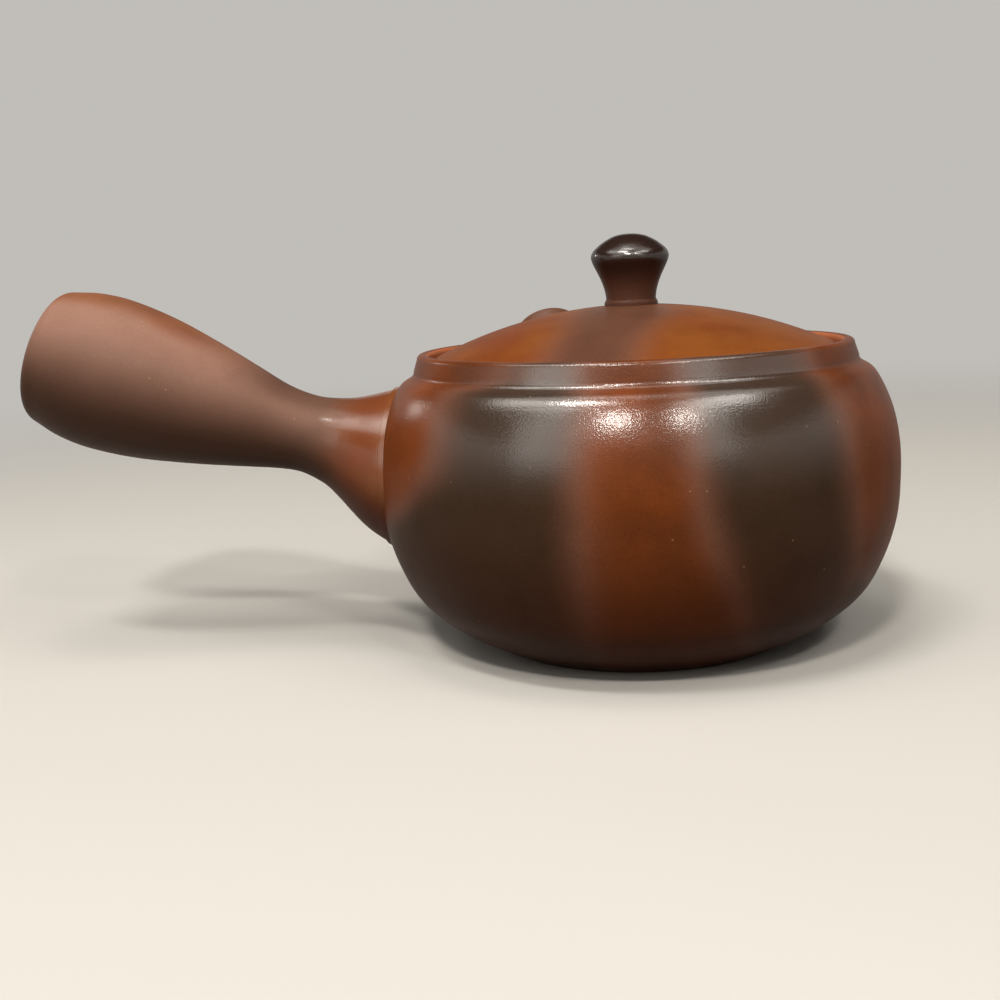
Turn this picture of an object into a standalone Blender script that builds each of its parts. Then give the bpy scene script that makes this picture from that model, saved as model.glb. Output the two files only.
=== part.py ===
"""Side-handled clay teapot (yokode kyusu) with a lift-off lid.

Metres, +Z up. The origin is the centre of the flat base, on the axis that the
pot was thrown on. The hollow handle points along -X and the spout points away
from a viewer who looks along +Y, so the pot is for a right hand.
"""
import math

import bmesh
import bpy
from mathutils import Matrix, Vector

MM = 0.001

# Fits
GAP = 0.3 * MM                  # between two pieces that touch
SLIP = 1.2 * MM                 # bead of slip that lutes the handle or the spout on
SLIP_PROUD = 0.35 * MM          # how far that bead stands out from the piece it holds
OVERRUN = 6.0 * MM              # how far a cutter runs past what it cuts

# Pot
BODY_RADIUS = 49.0 * MM
SHOULDER_HEIGHT = 52.3 * MM
WALL = 3.0 * MM
FLOOR = 3.5 * MM
FLOOR_FILLET = 2.0 * MM
COVE = 1.5 * MM                 # hollow curve from the shoulder up into the collar
SHOULDER_SLOPE = math.radians(31.0)     # at the foot of that curve
COLLAR_HEIGHT = 4.05 * MM
COLLAR_LEAN = 0.7 * MM          # the collar draws in by this much towards its rim
COLLAR_WALL = 2.3 * MM
RIM_ROUND = 0.6 * MM
GALLERY_DEPTH = 3.6 * MM        # from the rim down to the ledge that the lid sits on
GALLERY_WIDTH = 5.6 * MM
SHELF = 3.2 * MM                # thickness of that ledge
SHELF_ROUND = 0.5 * MM
# Height and radius of the thrown wall, from the cove's foot to the base
BODY_OUTLINE_shares = (
    (0.994, 0.865), (0.972, 0.901), (0.93, 0.931), (0.828, 0.975), (0.707, 0.998), (0.585, 1.0),
    (0.455, 0.988), (0.32, 0.945), (0.2, 0.876), (0.1, 0.755), (0.04, 0.64), (0.0, 0.555),
)

# Handle, measured along its own axis from where that axis leaves the pot's widest radius
HANDLE_LENGTH = 70.0 * MM
HANDLE_RADIUS = 15.1 * MM
HANDLE_WALL = 2.8 * MM
HANDLE_RISE = math.radians(19.5)
HANDLE_HEIGHT_share = 0.683     # of the shoulder's height
HANDLE_EDGE = 3.2 * MM          # rounded edge at the free end
HANDLE_LIP = 4.0 * MM           # thickness of the turned-in end
HANDLE_MOUTH = 8.6 * MM         # radius of the open end
HANDLE_MOUTH_EDGE = 1.0 * MM
# Distance along the axis and radius, from the free end to the root
HANDLE_OUTLINE_shares = (
    (0.954, 0.898), (0.9, 0.965), (0.829, 1.0), (0.743, 0.983), (0.657, 0.932), (0.571, 0.852),
    (0.486, 0.761), (0.4, 0.665), (0.314, 0.575), (0.257, 0.538), (0.214, 0.547), (0.171, 0.593),
    (0.129, 0.66), (0.086, 0.76), (0.043, 0.885), (0.0, 1.01), (-0.043, 1.1), (-0.1, 1.17),
    (-0.2, 1.22),
)

# Spout, measured along its own axis from where that axis leaves the pot
SPOUT_LENGTH = 26.0 * MM
SPOUT_ROOT = 11.4 * MM
SPOUT_WALL = 2.2 * MM
SPOUT_LIP = 0.7 * MM
SPOUT_RISE = math.radians(42.0)
SPOUT_AZIMUTH = math.radians(107.0)
SPOUT_HEIGHT_share = 0.736      # of the shoulder's height
SPOUT_HOLE = 8.0 * MM           # radius of the hole in the pot behind it
SPOUT_OUTLINE_shares = (
    (1.0, 0.69), (0.85, 0.695), (0.67, 0.71), (0.48, 0.74), (0.3, 0.785), (0.15, 0.845),
    (0.0, 0.92), (-0.15, 0.985), (-0.3, 1.035), (-0.52, 1.08),
)

# Strainer, a pierced dome luted inside the pot behind the spout
STRAINER_RADIUS = 12.4 * MM
STRAINER_WALL = 2.0 * MM
STRAINER_SINK = 1.0 * MM        # its centre lies this far behind the inner wall
STRAINER_HEIGHT_share = 0.68    # of the shoulder's height
STRAINER_HOLE = 0.7 * MM
STRAINER_PITCH = 2.8 * MM
STRAINER_PIERCED_share = 0.66   # of a right angle, from the dome's middle
STRAINER_REACH = math.radians(100.0)

# Lid
LID_GAP = 1.0 * MM              # round the lid, inside the collar
LID_EDGE = 2.2 * MM
LID_EDGE_ROUND = 0.5 * MM
LID_RISE = 8.6 * MM
LID_WALL = 3.0 * MM
FLANGE_GAP = 0.8 * MM
FLANGE_DEPTH = 6.0 * MM
FLANGE_WALL = 2.8 * MM
FLANGE_ROUND = 0.6 * MM
VENT_RADIUS = 1.4 * MM
VENT_PLACE_share = 0.4          # of the lid's radius, towards the spout

# Knob
KNOB_SLIP = 0.7 * MM
KNOB_SLIP_PROUD = 0.35 * MM
KNOB_HEIGHT = 11.8 * MM
KNOB_RADIUS = 7.3 * MM
KNOB_OUTLINE_shares = (
    (1.0, 0.0), (0.995, 0.22), (0.975, 0.42), (0.924, 0.6), (0.865, 0.75), (0.805, 0.868),
    (0.745, 0.95), (0.68, 0.995), (0.62, 0.998), (0.56, 0.965), (0.5, 0.925), (0.4, 0.845),
    (0.3, 0.77), (0.2, 0.71), (0.1, 0.665), (0.0, 0.64),
)

# Facets
POT_STEPS = 48
HANDLE_STEPS = 30
SPOUT_STEPS = 26
STRAINER_STEPS = 24
KNOB_STEPS = 26
VENT_STEPS = 12
HOLE_SIDES = 6
ARC_POINTS = 2
DOME_POINTS = 6
BOWL_POINTS = 6
EDGE_ANGLE = math.radians(32.0)
WELD = 0.001 * MM

# What follows from the sizes above
COVE_HEIGHT = SHOULDER_HEIGHT * BODY_OUTLINE_shares[0][0] + COVE * math.cos(SHOULDER_SLOPE)
COLLAR_FOOT = BODY_RADIUS * BODY_OUTLINE_shares[0][1] - COVE * (1.0 - math.sin(SHOULDER_SLOPE))
COLLAR_RADIUS = COLLAR_FOOT - COLLAR_LEAN
COLLAR_INSIDE = COLLAR_RADIUS - COLLAR_WALL
RIM_HEIGHT = SHOULDER_HEIGHT + COLLAR_HEIGHT
GALLERY_HEIGHT = RIM_HEIGHT - GALLERY_DEPTH
SHELF_HEIGHT = GALLERY_HEIGHT - SHELF
MOUTH_RADIUS = COLLAR_INSIDE - GALLERY_WIDTH
LID_RADIUS = COLLAR_INSIDE - LID_GAP
LID_SEAT = GALLERY_HEIGHT + GAP
LID_TOP = LID_SEAT + LID_EDGE + LID_RISE
FLANGE_RADIUS = MOUTH_RADIUS - FLANGE_GAP
KNOB_SEAT = LID_TOP + GAP + KNOB_SLIP + GAP
KNOB_FOOT = KNOB_RADIUS * KNOB_OUTLINE_shares[-1][1]

# Each piece's own look: colour, roughness
LOOKS = {
    "body": ((0.235, 0.062, 0.026), 0.42),
    "handle": ((0.205, 0.082, 0.048), 0.5),
    "handle_joint": ((0.25, 0.075, 0.032), 0.42),
    "spout": ((0.2, 0.06, 0.03), 0.44),
    "spout_joint": ((0.21, 0.062, 0.03), 0.44),
    "strainer": ((0.22, 0.07, 0.035), 0.6),
    "lid": ((0.3, 0.09, 0.032), 0.42),
    "knob": ((0.045, 0.02, 0.015), 0.36),
    "knob_joint": ((0.11, 0.045, 0.025), 0.42),
}


def scaled(shares, along, across):
    """Turn a table of shares into profile points: across is X and along is Z."""
    return [Vector((wide * across, high * along)) for high, wide in shares]


def smooth_through(points, pieces):
    """Run a centripetal Catmull-Rom curve through the points."""
    ends = [2.0 * points[0] - points[1]] + list(points) + [2.0 * points[-1] - points[-2]]
    line = []
    for first in range(len(points) - 1):
        p0, p1, p2, p3 = ends[first:first + 4]
        t1 = math.sqrt((p1 - p0).length)
        t2 = t1 + math.sqrt((p2 - p1).length)
        t3 = t2 + math.sqrt((p3 - p2).length)
        for piece in range(pieces):
            t = t1 + (t2 - t1) * piece / pieces
            a1 = p0.lerp(p1, t / t1)
            a2 = p1.lerp(p2, (t - t1) / (t2 - t1))
            a3 = p2.lerp(p3, (t - t2) / (t3 - t2))
            b1 = a1.lerp(a2, t / t2)
            b2 = a2.lerp(a3, (t - t1) / (t3 - t1))
            line.append(b1.lerp(b2, (t - t1) / (t2 - t1)))
    line.append(points[-1].copy())
    return line


def inset(line, depth):
    """Move a profile that runs down its outer side inwards by depth, square to itself."""
    moved = []
    for place, point in enumerate(line):
        ahead = line[min(place + 1, len(line) - 1)] - line[max(place - 1, 0)]
        outward = Vector((-ahead.y, ahead.x)).normalized()
        moved.append(point - outward * depth)
    return moved


def arc(centre, radius, start, end, points=ARC_POINTS):
    """Return points on an arc, both ends among them; the angles are in degrees."""
    line = []
    for place in range(points + 1):
        angle = math.radians(start + (end - start) * place / points)
        line.append(Vector((centre[0] + radius * math.cos(angle),
                            centre[1] + radius * math.sin(angle))))
    return line


def width_at(line, height):
    """Return a profile's width at a height."""
    for upper, lower in zip(line, line[1:]):
        if upper.y >= height >= lower.y:
            share = (upper.y - height) / (upper.y - lower.y)
            return upper.lerp(lower, share).x
    return line[-1].x


def collection(name):
    made = bpy.data.collections.new(name)
    bpy.context.scene.collection.children.link(made)
    return made


def material(name):
    colour, roughness = LOOKS[name]
    made = bpy.data.materials.new(name)
    made.use_nodes = True
    shader = made.node_tree.nodes["Principled BSDF"]
    shader.inputs["Base Color"].default_value = (*colour, 1.0)
    shader.inputs["Roughness"].default_value = roughness
    shader.inputs["Metallic"].default_value = 0.0
    return made


def settle(piece):
    """Apply the modifiers, weld what meets and shade smooth between sharp edges."""
    seen = piece.evaluated_get(bpy.context.evaluated_depsgraph_get())
    mesh = bpy.data.meshes.new_from_object(seen)
    piece.modifiers.clear()
    piece.data = mesh
    mesh.name = piece.name
    work = bmesh.new()
    work.from_mesh(mesh)
    bmesh.ops.remove_doubles(work, verts=work.verts, dist=WELD)
    bmesh.ops.dissolve_degenerate(work, dist=WELD, edges=work.edges)
    work.to_mesh(mesh)
    work.free()
    mesh.shade_smooth()
    mesh.set_sharp_from_angle(angle=EDGE_ANGLE)
    return piece


def turned(name, profile, steps, home, closed=False):
    """Turn a profile about Z. It is closed where it doesn't start and end on the axis."""
    mesh = bpy.data.meshes.new(name)
    points = [(point.x, 0.0, point.y) for point in profile]
    edges = [(place, place + 1) for place in range(len(points) - 1)]
    if closed:
        edges.append((len(points) - 1, 0))
    mesh.from_pydata(points, edges, [])
    piece = bpy.data.objects.new(name, mesh)
    home.objects.link(piece)
    screw = piece.modifiers.new("Turn", "SCREW")
    screw.axis = "Z"
    screw.angle = math.tau
    screw.steps = steps
    screw.render_steps = steps
    screw.use_merge_vertices = True
    screw.merge_threshold = WELD
    return settle(piece)


def as_cutter(piece):
    piece.hide_render = True
    piece.display_type = "WIRE"
    return piece


def cut(piece, cutter, operation="DIFFERENCE"):
    bpy.context.view_layer.update()
    boolean = piece.modifiers.new(cutter.name, "BOOLEAN")
    boolean.operation = operation
    boolean.solver = "EXACT"
    boolean.object = cutter
    return settle(piece)


def body_line(pieces=2):
    """Outer side of the thrown wall, from the cove's foot down to the base."""
    return smooth_through(scaled(BODY_OUTLINE_shares, SHOULDER_HEIGHT, BODY_RADIUS), pieces)


def inner_line(depth):
    """Inner side of the wall between the ledge's underside and the floor."""
    line = [point for point in inset(body_line(1), depth)
            if FLOOR + FLOOR_FILLET / 4.0 < point.y < SHELF_HEIGHT - SHELF_ROUND * 2.0]
    return line + [Vector((line[-1].x - FLOOR_FILLET, FLOOR))]


def make_body(home):
    inside = inner_line(WALL)
    profile = [Vector((0.0, FLOOR))] + inside[::-1]
    profile.append(Vector((inside[0].x - SHELF_ROUND * 4.0, SHELF_HEIGHT - SHELF_ROUND / 2.0)))
    profile += arc((MOUTH_RADIUS + SHELF_ROUND, SHELF_HEIGHT + SHELF_ROUND), SHELF_ROUND, 270.0, 180.0)
    profile += arc((MOUTH_RADIUS + SHELF_ROUND, GALLERY_HEIGHT - SHELF_ROUND), SHELF_ROUND, 180.0, 90.0)
    profile.append(Vector((COLLAR_INSIDE, GALLERY_HEIGHT)))
    profile += arc((COLLAR_INSIDE + RIM_ROUND, RIM_HEIGHT - RIM_ROUND), RIM_ROUND, 180.0, 90.0)
    profile += arc((COLLAR_RADIUS - RIM_ROUND, RIM_HEIGHT - RIM_ROUND), RIM_ROUND, 90.0, 0.0)
    profile += arc((COLLAR_FOOT + COVE, COVE_HEIGHT), COVE, 180.0, 270.0 - math.degrees(SHOULDER_SLOPE),
                   ARC_POINTS + 1)
    profile += body_line()[1:]
    profile.append(Vector((0.0, 0.0)))
    return turned("body", profile, POT_STEPS, home)


def skin(name, depth, home):
    """A solid as large as the outside of the pot, its collar too, grown by depth."""
    line = inset(body_line(), -depth)
    collar = COLLAR_FOOT + depth
    profile = [Vector((0.0, RIM_HEIGHT + depth)), Vector((collar, RIM_HEIGHT + depth)),
               Vector((collar, COVE_HEIGHT + depth))]
    profile += line[:-1]
    profile += [Vector((line[-1].x, -depth)), Vector((0.0, -depth))]
    return as_cutter(turned(name, profile, POT_STEPS, home))


def cavity(name, home):
    """A solid as large as the inside of the pot, less the gap."""
    line = inner_line(WALL + GAP)
    top = SHELF_HEIGHT - GAP - SHELF_ROUND
    profile = [Vector((0.0, top)), Vector((line[0].x - SHELF_ROUND * 4.0, top))]
    profile += line[:-1]
    profile += [Vector((line[-1].x, FLOOR + GAP)), Vector((0.0, FLOOR + GAP))]
    return as_cutter(turned(name, profile, POT_STEPS, home))


def place(piece, at, rise, azimuth):
    """Put a piece's own Z axis on a line that rises from the pot towards an azimuth."""
    piece.location = at
    piece.rotation_euler = (0.0, math.pi / 2.0 - rise, azimuth)
    return piece


def tube(outer, wall, top, bottom):
    """Return the inner side of a tube, from the bottom up, with half as many points."""
    inner = [point for point in inset(outer, wall)[::2] if bottom < point.y < top]
    return inner[::-1]


def handle_line():
    return smooth_through(scaled(HANDLE_OUTLINE_shares, HANDLE_LENGTH, HANDLE_RADIUS), 1)


def handle_place():
    return Vector((-BODY_RADIUS, 0.0, SHOULDER_HEIGHT * HANDLE_HEIGHT_share))


def make_handle(home, far):
    outer = handle_line()
    edge = outer[0]
    lip = HANDLE_LENGTH - HANDLE_LIP
    profile = arc((HANDLE_MOUTH + HANDLE_MOUTH_EDGE, HANDLE_LENGTH - HANDLE_MOUTH_EDGE),
                  HANDLE_MOUTH_EDGE, 180.0, 90.0)
    profile += arc((edge.x - HANDLE_EDGE, HANDLE_LENGTH - HANDLE_EDGE), HANDLE_EDGE, 90.0, 0.0)
    profile += outer[1:]
    profile += [outer[-1] - Vector((HANDLE_WALL, 0.0))]
    profile += tube(outer, HANDLE_WALL, lip, outer[-1].y)
    profile += [Vector((edge.x - HANDLE_WALL, lip)), Vector((HANDLE_MOUTH, lip))]
    handle = place(turned("handle", profile, HANDLE_STEPS, home, True),
                   handle_place(), HANDLE_RISE, math.pi)
    return cut(handle, far)


def make_slip(name, root, wall, steps, home):
    """A tube along the root of the handle or the spout, a little proud of it."""
    line = inset(root, -SLIP_PROUD)
    inner = inset(line, wall + SLIP_PROUD)
    return turned(name, line + inner[::-1], steps, home, True)


def fit_slip(bead, near, far):
    """Keep the slice of the tube that lies between two skins of the pot."""
    cut(bead, near)
    return cut(bead, far, "INTERSECT")


def spout_place():
    height = SHOULDER_HEIGHT * SPOUT_HEIGHT_share
    reach = width_at(body_line(), height)
    return Vector((reach * math.cos(SPOUT_AZIMUTH), reach * math.sin(SPOUT_AZIMUTH), height))


def spout_line():
    return smooth_through(scaled(SPOUT_OUTLINE_shares, SPOUT_LENGTH, SPOUT_ROOT), 1)


def make_spout(home, far):
    outer = spout_line()
    tip = outer[0]
    middle = tip.x - SPOUT_WALL / 2.0
    round_lip = SPOUT_LIP
    profile = arc((tip.x - SPOUT_WALL + round_lip, tip.y - round_lip), round_lip, 180.0, 90.0)
    profile += arc((max(tip.x - round_lip, middle), tip.y - round_lip), round_lip, 90.0, 0.0)
    profile += outer[1:]
    profile += [outer[-1] - Vector((SPOUT_WALL, 0.0))]
    profile += tube(outer, SPOUT_WALL, tip.y - round_lip * 2.0, outer[-1].y)
    spout = place(turned("spout", profile, SPOUT_STEPS, home, True),
                  spout_place(), SPOUT_RISE, SPOUT_AZIMUTH)
    return cut(spout, far)


def strainer_place():
    """Middle of the hole behind the spout, a little behind the pot's inner wall."""
    height = SHOULDER_HEIGHT * STRAINER_HEIGHT_share
    reach = width_at(inset(body_line(1), WALL), height) + STRAINER_SINK
    return Vector((reach * math.cos(SPOUT_AZIMUTH), reach * math.sin(SPOUT_AZIMUTH), height))


def pierce_body(body, home):
    """Cut the hole behind the spout, level and straight towards the pot's axis."""
    ends = WALL + OVERRUN
    drill = turned("spout_hole", [Vector((0.0, ends)), Vector((SPOUT_HOLE, ends)),
                                  Vector((SPOUT_HOLE, -ends)), Vector((0.0, -ends))], SPOUT_STEPS, home)
    place(as_cutter(drill), strainer_place(), 0.0, SPOUT_AZIMUTH)
    return cut(body, drill)


def strainer_holes(home):
    """Round holes on rings about the dome's middle, one pitch apart."""
    work = bmesh.new()
    step = STRAINER_PITCH / STRAINER_RADIUS
    rings = int(STRAINER_PIERCED_share * math.pi / 2.0 / step)
    depth = STRAINER_WALL * 3.0
    middle = Matrix.Translation((0.0, 0.0, STRAINER_RADIUS - STRAINER_WALL / 2.0))
    for ring in range(rings + 1):
        tilt = ring * step
        count = max(1, round(math.tau * math.sin(tilt) / step))
        for number in range(count):
            turn = math.tau * (number + ring % 2 / 2.0) / count
            where = Matrix.Rotation(turn, 4, "Z") @ Matrix.Rotation(tilt, 4, "Y") @ middle
            bmesh.ops.create_cone(work, cap_ends=True, segments=HOLE_SIDES, radius1=STRAINER_HOLE,
                                  radius2=STRAINER_HOLE, depth=depth, matrix=where)
    mesh = bpy.data.meshes.new("strainer_holes")
    work.to_mesh(mesh)
    work.free()
    holes = bpy.data.objects.new("strainer_holes", mesh)
    home.objects.link(holes)
    return as_cutter(holes)


def make_strainer(home, tools):
    at = strainer_place()
    inside = STRAINER_RADIUS - STRAINER_WALL
    end = 90.0 - math.degrees(STRAINER_REACH)
    profile = arc((0.0, 0.0), STRAINER_RADIUS, 90.0, end, BOWL_POINTS)
    profile += arc((0.0, 0.0), inside, end, 90.0, BOWL_POINTS)
    profile[0].x = 0.0
    profile[-1].x = 0.0
    strainer = place(turned("strainer", profile, STRAINER_STEPS, home), at, math.pi, SPOUT_AZIMUTH)
    holes = place(strainer_holes(tools), at, math.pi, SPOUT_AZIMUTH)
    cut(strainer, cavity("cavity", tools), "INTERSECT")
    return cut(strainer, holes)


def dome_line(radius, rise, top, depth):
    """A dome's arc from its middle out to a radius, set in by depth; Z is from the lid's seat."""
    ball = (radius * radius + rise * rise) / (2.0 * rise)
    reach = math.asin(radius / ball)
    line = []
    for number in range(DOME_POINTS + 1):
        angle = reach * number / DOME_POINTS
        line.append(Vector(((ball - depth) * math.sin(angle), top - ball + (ball - depth) * math.cos(angle))))
    return line


def make_lid(home, tools):
    """The lid's own origin is on its axis, in the plane of its seat."""
    top = LID_TOP - LID_SEAT
    crown = dome_line(LID_RADIUS - LID_EDGE_ROUND, LID_RISE - LID_EDGE_ROUND / 2.0, top, 0.0)
    under = dome_line(LID_RADIUS, LID_RISE, top, LID_WALL)
    bore = FLANGE_RADIUS - FLANGE_WALL
    under = [point for point in under if point.x < bore - FLANGE_ROUND]
    profile = crown
    profile += [Vector((LID_RADIUS, LID_EDGE - LID_EDGE_ROUND)), Vector((LID_RADIUS, LID_EDGE_ROUND)),
                Vector((LID_RADIUS - LID_EDGE_ROUND, 0.0)), Vector((FLANGE_RADIUS, 0.0))]
    profile += arc((FLANGE_RADIUS - FLANGE_ROUND, FLANGE_ROUND - FLANGE_DEPTH), FLANGE_ROUND, 0.0, -90.0, 2)
    profile += arc((bore + FLANGE_ROUND, FLANGE_ROUND - FLANGE_DEPTH), FLANGE_ROUND, 270.0, 180.0, 2)
    profile.append(Vector((bore, under[-1].y - FLANGE_ROUND)))
    profile += under[::-1]
    lid = turned("lid", profile, POT_STEPS, home)
    lid.location = (0.0, 0.0, LID_SEAT)
    vent = turned("vent", [Vector((0.0, OVERRUN)), Vector((VENT_RADIUS, OVERRUN)),
                           Vector((VENT_RADIUS, -OVERRUN)), Vector((0.0, -OVERRUN))], VENT_STEPS, tools)
    as_cutter(vent)
    away = LID_RADIUS * VENT_PLACE_share
    vent.location = (away * math.cos(SPOUT_AZIMUTH), away * math.sin(SPOUT_AZIMUTH), LID_TOP)
    return cut(lid, vent)


def make_knob(home):
    profile = scaled(KNOB_OUTLINE_shares, KNOB_HEIGHT, KNOB_RADIUS)
    knob = turned("knob", profile + [Vector((0.0, 0.0))], KNOB_STEPS, home)
    knob.location = (0.0, 0.0, KNOB_SEAT)
    wide = KNOB_FOOT + KNOB_SLIP_PROUD
    half = KNOB_SLIP / 2.0
    ball = (LID_RADIUS * LID_RADIUS + LID_RISE * LID_RISE) / (2.0 * LID_RISE)
    drop = wide * wide / (2.0 * ball)
    profile = [Vector((0.0, KNOB_SLIP)), Vector((wide - half, KNOB_SLIP)), Vector((wide, half)),
               Vector((wide, -drop)), Vector((wide / 2.0, -drop / 4.0)), Vector((0.0, 0.0))]
    bead = turned("knob_joint", profile, KNOB_STEPS, home)
    bead.location = (0.0, 0.0, LID_TOP + GAP)
    return knob, bead


def main():
    for old in list(bpy.data.objects):
        bpy.data.objects.remove(old, do_unlink=True)
    home = collection("kyusu_teapot")
    tools = collection("cutters")
    near = skin("skin_near", GAP, tools)
    middle = skin("skin_middle", GAP + SLIP, tools)
    far = skin("skin_far", GAP + SLIP + GAP, tools)
    pieces = [pierce_body(make_body(home), tools)]
    pieces.append(make_handle(home, far))
    root = [point for point in handle_line() if point.y < HANDLE_RADIUS / 2.0]
    bead = make_slip("handle_joint", root, HANDLE_WALL, HANDLE_STEPS, home)
    place(bead, handle_place(), HANDLE_RISE, math.pi)
    pieces.append(fit_slip(bead, near, middle))
    pieces.append(make_spout(home, far))
    root = [point for point in spout_line() if point.y < SPOUT_ROOT]
    bead = make_slip("spout_joint", root, SPOUT_WALL, SPOUT_STEPS, home)
    place(bead, spout_place(), SPOUT_RISE, SPOUT_AZIMUTH)
    pieces.append(fit_slip(bead, near, middle))
    pieces.append(make_strainer(home, tools))
    pieces.append(make_lid(home, tools))
    pieces += make_knob(home)
    for piece in pieces:
        piece.data.materials.clear()
        piece.data.materials.append(material(piece.name))
    tools.hide_render = True


main()
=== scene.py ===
"""Side-handled clay teapot (yokode kyusu), dressed for a studio picture.

Run as a script in Blender 4.5. It loads the fixed frame of solids, turns finer
pieces in their places, gives each its fired clay, and sets a plain studio round
them. Metres, +Z up; the handle points along -X and the camera looks along +Y.
"""
import math
from contextlib import contextmanager

import bpy
from bpy.props import FloatProperty, FloatVectorProperty, IntProperty, PointerProperty
from mathutils import Matrix, Vector


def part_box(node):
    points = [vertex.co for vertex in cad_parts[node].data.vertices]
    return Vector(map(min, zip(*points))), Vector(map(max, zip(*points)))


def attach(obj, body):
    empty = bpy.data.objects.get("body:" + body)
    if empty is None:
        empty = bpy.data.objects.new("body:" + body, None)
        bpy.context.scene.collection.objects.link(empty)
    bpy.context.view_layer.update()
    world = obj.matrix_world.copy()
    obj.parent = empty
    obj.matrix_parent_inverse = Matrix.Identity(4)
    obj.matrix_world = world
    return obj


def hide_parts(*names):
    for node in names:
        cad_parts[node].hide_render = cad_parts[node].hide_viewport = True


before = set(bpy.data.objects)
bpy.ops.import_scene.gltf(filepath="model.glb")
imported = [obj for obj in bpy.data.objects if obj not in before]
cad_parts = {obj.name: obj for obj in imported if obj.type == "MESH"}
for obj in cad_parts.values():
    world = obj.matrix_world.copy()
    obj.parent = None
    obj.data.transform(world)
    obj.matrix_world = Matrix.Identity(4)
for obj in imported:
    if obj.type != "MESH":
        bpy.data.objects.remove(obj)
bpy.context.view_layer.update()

bl_info = {
    "name": "Side-handled teapot",
    "version": (1, 0, 0),
    "blender": (4, 5, 0),
    "location": "3D View > Sidebar > Teapot",
    "description": "Turns the clay pieces of a side-handled teapot and sets a studio round them",
    "category": "Add Mesh",
}

MM = 0.001
WELD = 0.0005 * MM

# Outlines, as shares of the sizes below. Height and radius of the thrown wall:
BODY_OUTLINE_shares = (
    (0.994, 0.865), (0.972, 0.901), (0.93, 0.931), (0.828, 0.975), (0.707, 0.998), (0.585, 1.0),
    (0.455, 0.988), (0.32, 0.945), (0.2, 0.876), (0.1, 0.755), (0.04, 0.64), (0.0, 0.555),
)
# Distance along the handle and its radius, from the free end to the root
HANDLE_OUTLINE_shares = (
    (0.954, 0.898), (0.9, 0.965), (0.829, 1.0), (0.743, 0.983), (0.657, 0.932), (0.571, 0.852),
    (0.486, 0.761), (0.4, 0.66), (0.314, 0.558), (0.257, 0.515), (0.214, 0.507), (0.171, 0.54),
    (0.129, 0.597), (0.086, 0.697), (0.043, 0.813), (0.0, 0.922), (-0.043, 1.0), (-0.1, 1.06),
    (-0.2, 1.11),
)
# Distance along the spout and its radius, from the tip to the root
SPOUT_OUTLINE_shares = (
    (1.0, 0.69), (0.85, 0.695), (0.67, 0.71), (0.48, 0.74), (0.3, 0.785), (0.15, 0.845),
    (0.0, 0.92), (-0.15, 0.985), (-0.3, 1.035), (-0.52, 1.08),
)
# Height and radius of the knob
KNOB_OUTLINE_shares = (
    (1.0, 0.0), (0.9955, 0.15), (0.984, 0.28), (0.96, 0.42), (0.92, 0.56), (0.865, 0.71),
    (0.805, 0.835), (0.745, 0.935), (0.69, 0.985), (0.64, 1.0), (0.585, 0.98), (0.5, 0.925), (0.4, 0.845),
    (0.3, 0.77), (0.2, 0.71), (0.1, 0.665), (0.0, 0.64),
)

# Smoke on the pot's wall, one patch a row. Its two edges, in degrees round from the front towards +X,
# each with how soft it is in degrees and how far it has spread 4.5 mm below the height that the
# patches spread from; then how deep the smoke is
BODY_SMOKE = (
    ((-43.5, 15.0, 2.0), (-10.5, 10.0, 0.0), 1.0),
    ((12.0, 8.5, -0.25), (45.0, 10.0, 0.15), 0.95),
    ((108.0, 14.0, 0.4), (152.0, 12.0, 0.9), 0.9),
    ((-158.0, 14.0, 0.9), (-120.0, 12.0, 0.3), 0.85),
)
BODY_SMOKE_HEIGHT = 43.0
# Square of the depth at which a patch has spread by its row's amount, and what the collar takes back
SMOKE_SPREAD = 20.0
SMOKE_COLLAR_STEP = 6.0
# Smoke across the lid: its direction in degrees, half-width of the dark middle and of the edge, depth
LID_SMOKE = ((-12.0, 3.0, 16.0, 0.58), (158.0, 3.0, 15.0, 0.6))
SMOKE_WANDER = 40.0
# Where the smoke across the lid fades out, past the lid's middle
LID_SMOKE_END = (-4.0, 8.0)

# Heights on the pot between which the look changes, in millimetres
# The first pair: the pot darkens towards its foot, partly as the clay fired and partly as painted shade of
# the lower belly
FOOT_FIRED_AND_SHADED = (36.0, 2.0)
POLISH_RISE = (33.0, 53.0)
COLLAR_FOOT = (51.0, 54.0)
COLLAR_SIDE = (52.5, 54.0)
# Along the handle from its root: red clay, the neck's painted shade, and the red crown on top
ROOT_RED = (4.0, 14.0)
NECK_PAINTED_SHADE = (40.0, 22.0)
CROWN_RED = (26.0, 44.0)
# Heights on the spout between which its smoke deepens
SPOUT_SMOKE = (44.0, 62.0)
# Heights above the knob's foot: its redder waist, and its polished head
KNOB_WAIST = (7.5, 1.0)
KNOB_HEAD = (6.2, 8.6)

# The fired skin: how far apart its pebbles, dents and turning lines are, and how deep, in millimetres
PEBBLES = (0.3, 0.028)
DENTS = (2.6, 0.03)
TURNING_LINES = (0.55, 0.012)
RINGS = (2.2, 0.12)
# Pale grit: spacing and size in millimetres, the share of places that hold some, and how much it shows
GRIT = (2.8, 0.09)
GRIT_CHANCE = (0.8, 0.84)
GRIT_SHOWS = 0.1
MOTTLE_SHADE = (0.3, 0.25, 0.22)
# Clay polished by rubbing
POLISH_ROUGHNESS = 0.2
POLISH_IOR = 2.45

# Shares of the slip's width: how far out the root and the bead begin and end; and of how proud it is
ROOT_REACH_share = 0.7
BEAD_REACH_share = 0.75
BEAD_ROUND_share = 0.7
# Shares of the gap: how far the bead and the knob's foot sink into it
BEAD_SINK_share = 0.2
KNOB_SINK_share = 0.9
# Facets round the small things and the floor, and points along the lid's dome
VENT_SIDES = 32
PEG_SIDES = 14
FLOOR_SIDES = 96
DOME_POINTS = 40

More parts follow.
